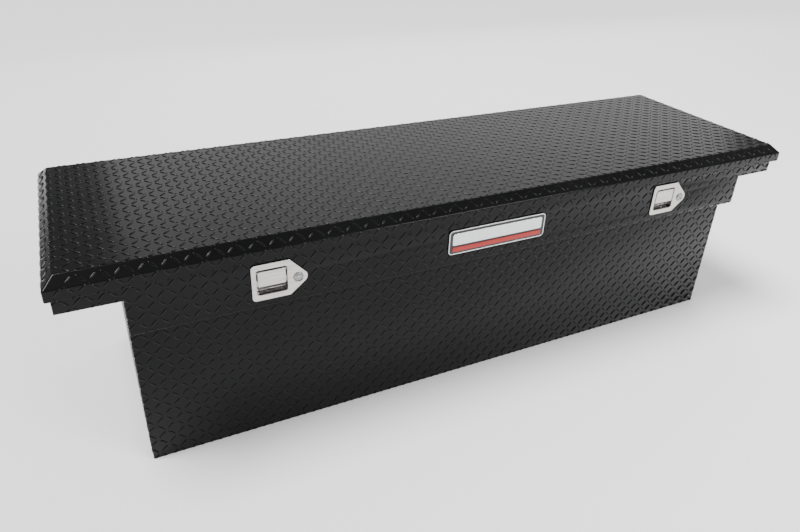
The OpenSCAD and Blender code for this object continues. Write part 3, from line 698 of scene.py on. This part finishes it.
def build_latch_pan(side):
    """Pressed stainless pan: plate with rolled edge, dish with a round mouth, slot in its end."""
    centre = latch_centre(side)
    low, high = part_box("latch_pan_" + side)
    front = low.y - RAIL_Y
    dish_end = 15 * MM
    plate = plate_outline()
    mouth = round_box(DISH_W / 2, DISH_H / 2, 4.5 * MM, steps=96)
    back = round_box(DISH_W / 2 + DISH_T, DISH_H / 2 + DISH_T, 6 * MM, steps=96)
    rings = [ring_at(back, 4 * MM, dish_end, centre)]
    rings += [ring_at(back, i, dish_end - d, centre) for i, d in edge_arc(2.5 * MM)]
    rings += [ring_at(back, 0, -1 * MM, centre), ring_at(plate, 0.8 * MM, -1 * MM, centre),
              ring_at(plate, 0, -1.5 * MM, centre)]
    rings += [ring_at(plate, i, front + d, centre) for i, d in edge_arc(1.2 * MM)[::-1]]
    rings.append(ring_at(plate, 1.6 * MM, front, centre))
    rings.append(ring_at(mouth, -3.0 * MM, front, centre))
    rings += [ring_at(mouth, -i, front + d, centre) for i, d in edge_arc(2.2 * MM)]
    rings.append(ring_at(mouth, 0, dish_end - DISH_T - 3.5 * MM, centre))
    rings += [ring_at(mouth, i, dish_end - DISH_T - d, centre)
              for i, d in edge_arc(3.0 * MM)[::-1]]
    rings.append(ring_at(mouth, 4.2 * MM, dish_end - DISH_T, centre))
    bm = bmesh.new()
    loft(bm, rings)

    def slot(tool):
        x0, x1 = centre.x + TAIL_X0 - TAIL_GAP, centre.x + TAIL_X1 + TAIL_GAP
        box_mesh(tool, (x0, centre.y + dish_end - 3 * MM, centre.z - 4 * MM),
                 (x1, centre.y + dish_end + 2 * MM, centre.z + 17 * MM))

    bm = cut_away(bm, [slot])
    for x, z in ((x, z) for x in STUD_X for z in STUD_Z):
        stud = disc_points((centre.x + x, centre.z + z), 2.5 * MM, 24)
        prism(bm, stud, "y", centre.y - 1.2 * MM, high.y)
    tidy_mesh(bm)
    add_piece("latch_pan_pressed_" + side, bm, STAINLESS, "box",
              ["latch_pan_" + side])


def build_paddle(side):
    """Pressed pull paddle: a shallow tray with a deep-curved lower edge, ears and a trip tail."""
    centre = latch_centre(side)
    low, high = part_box("paddle_" + side)
    half = (high.x - low.x) / 2
    top, bottom = high.z - centre.z, low.z - centre.z
    face = low.y - RAIL_Y
    mid = (top + bottom) / 2
    outline = round_box(half, (top - bottom) / 2, 5 * MM, (0, mid), 96)
    depth, thickness = 5 * MM, 1.6 * MM

    def ring(part, inset_by=0.0, deeper=0.0, shrink=0.0):
        points = []
        for p, facing in outline.walk(inset_by):
            lower = max(0.0, -facing.y) ** 2
            r = max(1.3 * MM + 3.2 * MM * lower - shrink, 0.4 * MM)
            inset = r * (1 - math.sin(part * math.pi / 2))
            back = r * (1 - math.cos(part * math.pi / 2))
            points.append((centre.x + p.x - facing.x * inset, centre.y + face + deeper + back,
                           centre.z + p.y - facing.y * inset))
        return points

    def flat_ring(inset, y):
        return ring_at(outline, inset, face + y, centre)

    rings = [flat_ring(4.9 * MM, 0)]
    rings += [ring(k / 6) for k in range(7)]
    rings += [flat_ring(0, depth - 0.3 * MM), flat_ring(0.3 * MM, depth),
              flat_ring(thickness - 0.3 * MM, depth), flat_ring(thickness, depth - 0.3 * MM)]
    rings += [ring(k / 6, thickness, thickness, thickness) for k in range(6, -1, -1)]
    rings.append(flat_ring(4.9 * MM, thickness))
    bm = bmesh.new()
    loft(bm, rings)
    ear_t, pivot_y, pivot_z = 2 * MM, 1.5 * MM, 20 * MM
    for x in (-half + 0.1 * MM, half - ear_t - 0.1 * MM):
        ear = [(centre.y + p.x, centre.z + p.y) for p, _ in
               Outline([((pivot_y, pivot_z), 3.9 * MM), ((pivot_y, pivot_z - 7 * MM), 1.5 * MM)],
                       48).walk()]
        prism(bm, ear, "x", centre.x + x, centre.x + x + ear_t)
    tail_z = pivot_z - 9.5 * MM
    tail = [(centre.y + p.x, centre.z + p.y) for p, _ in
            Outline([((face + 2 * MM, tail_z + 1.5 * MM), 1.4 * MM),
                     ((pivot_y + 18.5 * MM, tail_z + 1.5 * MM), 1.5 * MM)], 32).walk()]
    prism(bm, tail, "x", centre.x + TAIL_X0, centre.x + TAIL_X1)
    tidy_mesh(bm)
    add_piece("paddle_pressed_" + side, bm, STAINLESS, "paddle_" + side,
              ["paddle_" + side])


def lathe(bm, profile, centre, closed=False):
    """Turns (radius, y) pairs about an axis along Y through centre. A closed profile is a tube;
    an open one gets a cap at each end."""
    rings = [[(x, centre.y + y, z) for x, z in disc_points((centre.x, centre.z), r, 64)]
             for r, y in profile + profile[:1] * closed]
    loft(bm, rings, not closed)


def build_lock(side):
    """Turned lock: a rounded bezel round a sunk face, and a keyed plug that turns inside it."""
    centre = latch_centre(side) + Vector((LOCK_AT[0], 0, LOCK_AT[1]))
    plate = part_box("latch_pan_" + side)[0].y - RAIL_Y
    bezel_r, barrel_r, plug_r = 10.8 * MM, 9 * MM, 6 * MM
    face = plate - 1.6 * MM
    profile = [(bezel_r - 0.6 * MM, plate + 0.02 * MM), (bezel_r, plate - 0.25 * MM)]
    profile += [(bezel_r - i, face + d) for i, d in edge_arc(1.1 * MM)[::-1]]
    profile += [(8.9 * MM, face), (8.3 * MM, face + 0.5 * MM), (7.7 * MM, face + 1.3 * MM),
                (plug_r + 0.6 * MM, face + 1.4 * MM), (plug_r + 0.15 * MM, face + 1.8 * MM),
                (plug_r + 0.15 * MM, 20 * MM), (barrel_r - 0.5 * MM, 20 * MM),
                (barrel_r, 19.5 * MM), (barrel_r, plate + 0.02 * MM)]
    bm = bmesh.new()
    lathe(bm, profile, centre, closed=True)
    tidy_mesh(bm)
    add_piece("lock_barrel_turned_" + side, bm, CHROME, "box",
              ["lock_barrel_" + side])

    plug_face = face + 0.5 * MM
    low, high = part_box("lock_plug_" + side)
    profile = [(3 * MM, high.y - RAIL_Y), (3 * MM, 24 * MM), (plug_r - 0.3 * MM, 24 * MM),
               (plug_r, 23.7 * MM), (plug_r, plug_face + 0.4 * MM),
               (plug_r - 0.4 * MM, plug_face), (4.6 * MM, plug_face),
               (4.3 * MM, plug_face + 0.35 * MM), (2.0 * MM, plug_face + 0.4 * MM)]
    bm = bmesh.new()
    lathe(bm, profile, centre)

    def keyway(tool):
        half_t, half_h = 0.65 * MM, 3.3 * MM
        box_mesh(tool, (centre.x - half_t, centre.y + plug_face - MM, centre.z - half_h),
                 (centre.x + half_t, centre.y + plug_face + 11 * MM, centre.z + half_h))

    def key_rib(tool):
        box_mesh(tool, (centre.x - 1.3 * MM, centre.y + plug_face - MM, centre.z - 0.7 * MM),
                 (centre.x + 0.2 * MM, centre.y + plug_face + 9 * MM, centre.z + 0.9 * MM))

    bm = cut_away(bm, [keyway, key_rib])
    add_piece("lock_plug_turned_" + side, bm, CHROME, "lock_" + side,
              ["lock_plug_" + side])


# ---------------------------------------------------------------- panels


def build_rail():
    """Upper front in one folded sheet: rim flange, face with the latch cut-outs, ledge."""
    flange_y = RAIL_Y + SHEET + RIM_W
    points = [(flange_y, RIM_Z), (RAIL_Y, RIM_Z), (RAIL_Y, LEDGE_Z), (PANEL_Y, LEDGE_Z)]
    outline = sheet_outline(points, [BEND_R, BEND_R], SHEET)
    bm = bmesh.new()
    prism(bm, outline, "x", -SADDLE_X, SADDLE_X)
    far = 1.1 * SADDLE_X
    cutters = []
    for sx in (-1, 1):
        def corner(tool, sx=sx):
            x0, x1 = sorted((sx * TUB_X, sx * far))
            box_mesh(tool, (x0, RAIL_Y - CLEAR, LEDGE_Z - CLEAR), (x1, PANEL_Y + CLEAR, SHELF_Z))

        def flange_end(tool, sx=sx):
            x0, x1 = sorted((sx * (SADDLE_X - SHEET), sx * far))
            box_mesh(tool, (x0, RAIL_Y + SHEET, SHELF_Z), (x1, PANEL_Y + CLEAR, RIM_Z + CLEAR))
        cutters += [corner, flange_end]
    for side in SIDES:
        centre = latch_centre(side)

        def opening(tool, c=centre):
            half_w = DISH_W / 2 + DISH_T + MM
            half_h = DISH_H / 2 + DISH_T + MM
            box_mesh(tool, (c.x - half_w, RAIL_Y - CLEAR, c.z - half_h),
                     (c.x + half_w, RAIL_Y + SHEET + MM, c.z + half_h))

        def lock_hole(tool, c=centre):
            hole = disc_points((c.x + LOCK_AT[0], c.z + LOCK_AT[1]), 9.6 * MM, 40)
            prism(tool, hole, "y", RAIL_Y - CLEAR, RAIL_Y + SHEET + MM)
        cutters += [opening, lock_hole]
    bm = soften(cut_away(bm, cutters), EDGE_R)
    add_piece("front_rail_folded", bm, COAT, "box", ["front_rail"])


def build_saddle(side):
    """One saddle in one folded sheet: the shelf with its two holes, the end wall, the flange."""
    s = -1 if side == "left" else 1
    y0, y1 = saddle_low.y, saddle_high.y
    points = [(TUB_X, SHELF_Z), (SADDLE_X, SHELF_Z), (SADDLE_X, RIM_Z),
              (SADDLE_X - SHEET - RIM_W, RIM_Z)]
    outline = [(s * p.x, p.y) for p in sheet_outline(points, [BEND_R, BEND_R], SHEET)]
    bm = bmesh.new()
    prism(bm, outline, "y", y0, y1)
    cutters = []
    for a, b in ((y0 - MM, y0 + RIM_W), (y1 - RIM_W, y1 + MM)):
        def notch(tool, a=a, b=b):
            x0, x1 = sorted((s * (TUB_X + 20 * MM), s * (SADDLE_X - SHEET - 0.3 * MM)))
            box_mesh(tool, (x0, a, RIM_Z - 2 * SHEET), (x1, b, RIM_Z + MM))
        cutters.append(notch)
    for sy in (-1, 1):
        def hole(tool, sy=sy):
            prism(tool, disc_points((s * HOLE_X, sy * HOLE_Y), HOLE_R, 32), "z",
                  SHELF_Z - MM, SHELF_Z + SHEET + MM)
        cutters.append(hole)
    bm = soften(cut_away(bm, cutters), EDGE_R)
    add_piece("saddle_folded_" + side, bm, COAT, "box", ["saddle_" + side])


def build_flat_panels():
    """Floor, front, back and ends: the plain sheets, with their cut edges rounded."""
    for node in ("bottom_panel", "front_panel", "back_panel", "end_panel_left",
                 "end_panel_right"):
        rounded_copy(node, COAT)


def build_tub_tread():
    """Bars on the outside of every upright sheet of the tub."""
    rail = Fold([(RAIL_Y, RIM_Z - BEND), (RAIL_Y, LEDGE_Z), (PANEL_Y, LEDGE_Z)], [BEND_R])
    wing = RIM_Z - BEND - SHELF_Z - 0.4 * MM
    cover = 1.2 * MM
    plate = plate_outline(48)
    centres = [latch_centre(side) for side in SIDES]
    badge_low, badge_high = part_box("badge_base")
    badge_mid = (badge_low + badge_high) / 2
    badge = round_box((badge_high.x - badge_low.x) / 2, (badge_high.z - badge_low.z) / 2, 9 * MM,
                      steps=48)

    def hidden_on_rail(bar):
        x, z = bar[:, 0], RIM_Z - BEND - bar[:, 1]
        for c in centres:
            if abs(x.mean() - c.x) < LATCH_REACH and all(
                    plate.holds(a - c.x, b - c.z, cover) for a, b in zip(x, z)):
                return True
        return all(badge.holds(a - badge_mid.x, b - badge_mid.z, cover)
                   for a, b in zip(x, z))

    def on_rail(u, v, h):
        y, z = rail.place(v, h)
        return u, y, z

    rects = [(-TUB_X + EDGE, TUB_X - EDGE, 0, rail.length),
             (-SADDLE_X + EDGE, -TUB_X + EDGE, 0, wing),
             (TUB_X - EDGE, SADDLE_X - EDGE, 0, wing)]
    add_tread("rail_tread", rects, on_rail, hidden_on_rail)

    add_tread("front_tread", [(-TUB_X + EDGE, TUB_X - EDGE, EDGE, LEDGE_Z)],
              lambda u, v, h: (u, PANEL_Y - h, v))

    leaf_low, leaf_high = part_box("hinge_leaf_box")

    def under_hinge(bar):
        return bool(((np.abs(bar[:, 0]) < leaf_high.x + MM)
                     & (bar[:, 1] > leaf_low.z - MM)).any())

    rects = [(-TUB_X + EDGE, TUB_X - EDGE, EDGE, RIM_Z - EDGE),
             (-SADDLE_X + EDGE, -TUB_X + EDGE, SHELF_Z + EDGE, RIM_Z - EDGE),
             (TUB_X - EDGE, SADDLE_X - EDGE, SHELF_Z + EDGE, RIM_Z - EDGE)]
    add_tread("back_tread", rects, lambda u, v, h: (u, REAR_Y + h, v), under_hinge)

    rects = [(PANEL_Y + SHEET + EDGE, REAR_Y - SHEET - EDGE, EDGE, LEDGE_Z + SHEET),
             (RAIL_Y + SHEET + EDGE, REAR_Y - SHEET - EDGE, LEDGE_Z + SHEET, SHELF_Z - EDGE)]
    for side, s in zip(SIDES, (-1, 1)):
        add_tread("end_tread_" + side, rects, lambda u, v, h, s=s: (s * (TUB_X + h), u, v))
        wall = [(RAIL_Y + SHEET + EDGE, REAR_Y - SHEET - EDGE, SHELF_Z + BEND, RIM_Z - BEND)]
        add_tread("saddle_tread_" + side, wall,
                  lambda u, v, h, s=s: (s * (SADDLE_X + h), u, v))


# ---------------------------------------------------------------- badge


def build_badge():
    """Plain name plate: a rounded black base, a bright rim, a silver panel and a red strip."""
    base_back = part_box("badge_base")[1].y
    rim_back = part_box("badge_rim")[1].y

    def slab(name, node, material, corner_r, round_r, back, hollow=None):
        low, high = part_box(node)
        mid = (low + high) / 2
        outline = round_box((high.x - low.x) / 2, (high.z - low.z) / 2, corner_r)
        centre = Vector((mid.x, 0, mid.z))
        rings = [ring_at(outline, 0, back, centre)]
        rings += [ring_at(outline, i, low.y + d, centre) for i, d in edge_arc(round_r)[::-1]]
        rings.append(ring_at(outline, round_r + 0.4 * MM, low.y, centre))
        if hollow:
            rings.append(ring_at(outline, hollow - round_r - 0.1 * MM, low.y, centre))
            rings += [ring_at(outline, hollow - i, low.y + d, centre)
                      for i, d in edge_arc(round_r)]
            rings.append(ring_at(outline, hollow, back, centre))
            rings.append(rings[0])
        bm = bmesh.new()
        loft(bm, rings, not hollow)
        tidy_mesh(bm)
        add_piece(name, bm, material, "box", [node])

    slab("badge_base_round", "badge_base", BADGE_BLACK, 9 * MM, 0.8 * MM,
         base_back)
    slab("badge_rim_round", "badge_rim", BADGE_SILVER, 9 * MM, 0.45 * MM,
         rim_back + 0.3 * MM, hollow=2 * MM)
    slab("badge_panel_round", "badge_panel", BADGE_SILVER, 4 * MM, 0.7 * MM,
         rim_back + 0.2 * MM)
    slab("badge_stripe_round", "badge_stripe", BADGE_RED, 2 * MM, 0.7 * MM,
         rim_back + 0.2 * MM)


# ---------------------------------------------------------------- small hardware

PLAIN_FINISH = {
    "zinc_steel": ZINC, "seal_rubber": RUBBER, "hinge_aluminium": HINGE_METAL,
    "rivet_aluminium": RIVET_METAL, "foam_core": FOAM, "strut_black": STRUT_PAINT,
    "strut_chrome": STRUT_ROD, "black_sheet": COAT_SATIN, "black_tread_plate": COAT,
    "stainless_pressing": STAINLESS, "lock_chrome": CHROME, "badge_black": BADGE_BLACK,
    "badge_silver": BADGE_SILVER, "badge_red": BADGE_RED,
}
ROUNDED = {"latch_case": 0.4, "latch_nuts": 0.3, "lock_nut": 0.4, "lock_cam": 0.4, "claw": 0.5,
           "striker": 0.5, "strut_anchor": 0.4, "strut_bracket": 0.4}


def finish_hardware():
    """Every other node: small steel parts get rounded edges, the rest a finish."""
    slots = {p["node"]: p["material_slot"] for p in frame["record"]["subparts"]}
    for node, slot in slots.items():
        base = node.replace("_left", "").replace("_right", "")
        if base in ROUNDED and not NODES[node].hide_render:
            rounded_copy(node, PLAIN_FINISH[slot], ROUNDED[base] * MM, angle=50)
        dress(node, PLAIN_FINISH[slot])


# ---------------------------------------------------------------- studio

AROUND, BACKDROP = 0.3, 1.3
FLOOR_REACH, FLOOR_Z = 30.0, -0.5 * MM


def build_studio():
    """Pale floor and backdrop, dim surroundings, soft lamps."""
    world = bpy.data.worlds.new("studio")
    world.use_nodes = True
    tree = world.node_tree
    dim, pale = tree.nodes["Background"], tree.nodes.new("ShaderNodeBackground")
    for background, strength in ((dim, AROUND), (pale, BACKDROP)):
        background.inputs["Color"].default_value = (1, 1, 1, 1)
        background.inputs["Strength"].default_value = strength
    seen = tree.nodes.new("ShaderNodeLightPath")
    blend = tree.nodes.new("ShaderNodeMixShader")
    tree.links.new(seen.outputs["Is Camera Ray"], blend.inputs[0])
    tree.links.new(dim.outputs[0], blend.inputs[1])
    tree.links.new(pale.outputs[0], blend.inputs[2])
    tree.links.new(blend.outputs[0], tree.nodes["World Output"].inputs["Surface"])
    bpy.context.scene.world = world

    bm = bmesh.new()
    bm.faces.new([bm.verts.new((x * FLOOR_REACH, y * FLOOR_REACH, FLOOR_Z))
                  for x, y in ((-1, -1), (1, -1), (1, 1), (-1, 1))])
    mesh = bpy.data.meshes.new("floor")
    bm.to_mesh(mesh)
    bm.free()
    floor = bpy.data.objects.new("floor", mesh)
    bpy.context.scene.collection.objects.link(floor)
    mesh.materials.append(shader("studio_floor", Base_Color=(0.94, 0.94, 0.94), Roughness=0.7,
                                 Specular_IOR_Level=0.2)[0])

    def hang(data, at, aim):
        lamp_object = bpy.data.objects.new(data.name, data)
        bpy.context.scene.collection.objects.link(lamp_object)
        lamp_object.location = at
        facing = Vector(aim) - Vector(at)
        lamp_object.rotation_euler = facing.to_track_quat("-Z", "Y").to_euler()

    def soft_box(name, at, aim, size, power):
        data = bpy.data.lights.new(name, "AREA")
        data.shape = "RECTANGLE"
        data.size, data.size_y = size
        data.energy = power
        hang(data, at, aim)

    soft_box("back", (2.3, 3.2, 1.75), (2.3, 0, 0.9), (6.0, 2.2), 50)
    soft_box("front", (1.8, -3.0, 2.6), (0.1, -0.2, 0.45), (2.2, 1.4), 120)
    soft_box("high", (1.7, 1.3, 2.9), (0, 0, 0.49), (1.6, 1.6), 20)
    sun = bpy.data.lights.new("sun", "SUN")
    sun.energy, sun.angle = 5.2, math.radians(26)
    hang(sun, (-0.38, 0.05, 0.92), (0, 0, 0))


def place_camera():
    """The photo's camera, solved from the straight edges of the box."""
    at = Vector((-0.7768, -1.3238, 1.0813))
    right = Vector((0.89865, -0.43713, 0.03673))
    up = Vector((0.17839, 0.44065, 0.87978))
    forward = Vector((0.40076, 0.78406, -0.47397))
    turn = Matrix((right, up, -forward)).transposed().to_4x4()
    data = bpy.data.cameras.new("camera")
    data.lens, data.sensor_width = 30.097, 36
    data.shift_x, data.shift_y = -0.0037, -0.0355
    camera = bpy.data.objects.new("camera", data)
    bpy.context.scene.collection.objects.link(camera)
    camera.matrix_world = Matrix.Translation(at) @ turn
    bpy.context.scene.camera = camera


# ---------------------------------------------------------------- build

build_lid_skin()
build_lid_tread()
build_rail()
for one_side in SIDES:
    build_saddle(one_side)
    build_latch_pan(one_side)
    build_paddle(one_side)
    build_lock(one_side)
build_flat_panels()
build_tub_tread()
build_badge()
finish_hardware()
build_studio()
place_camera()
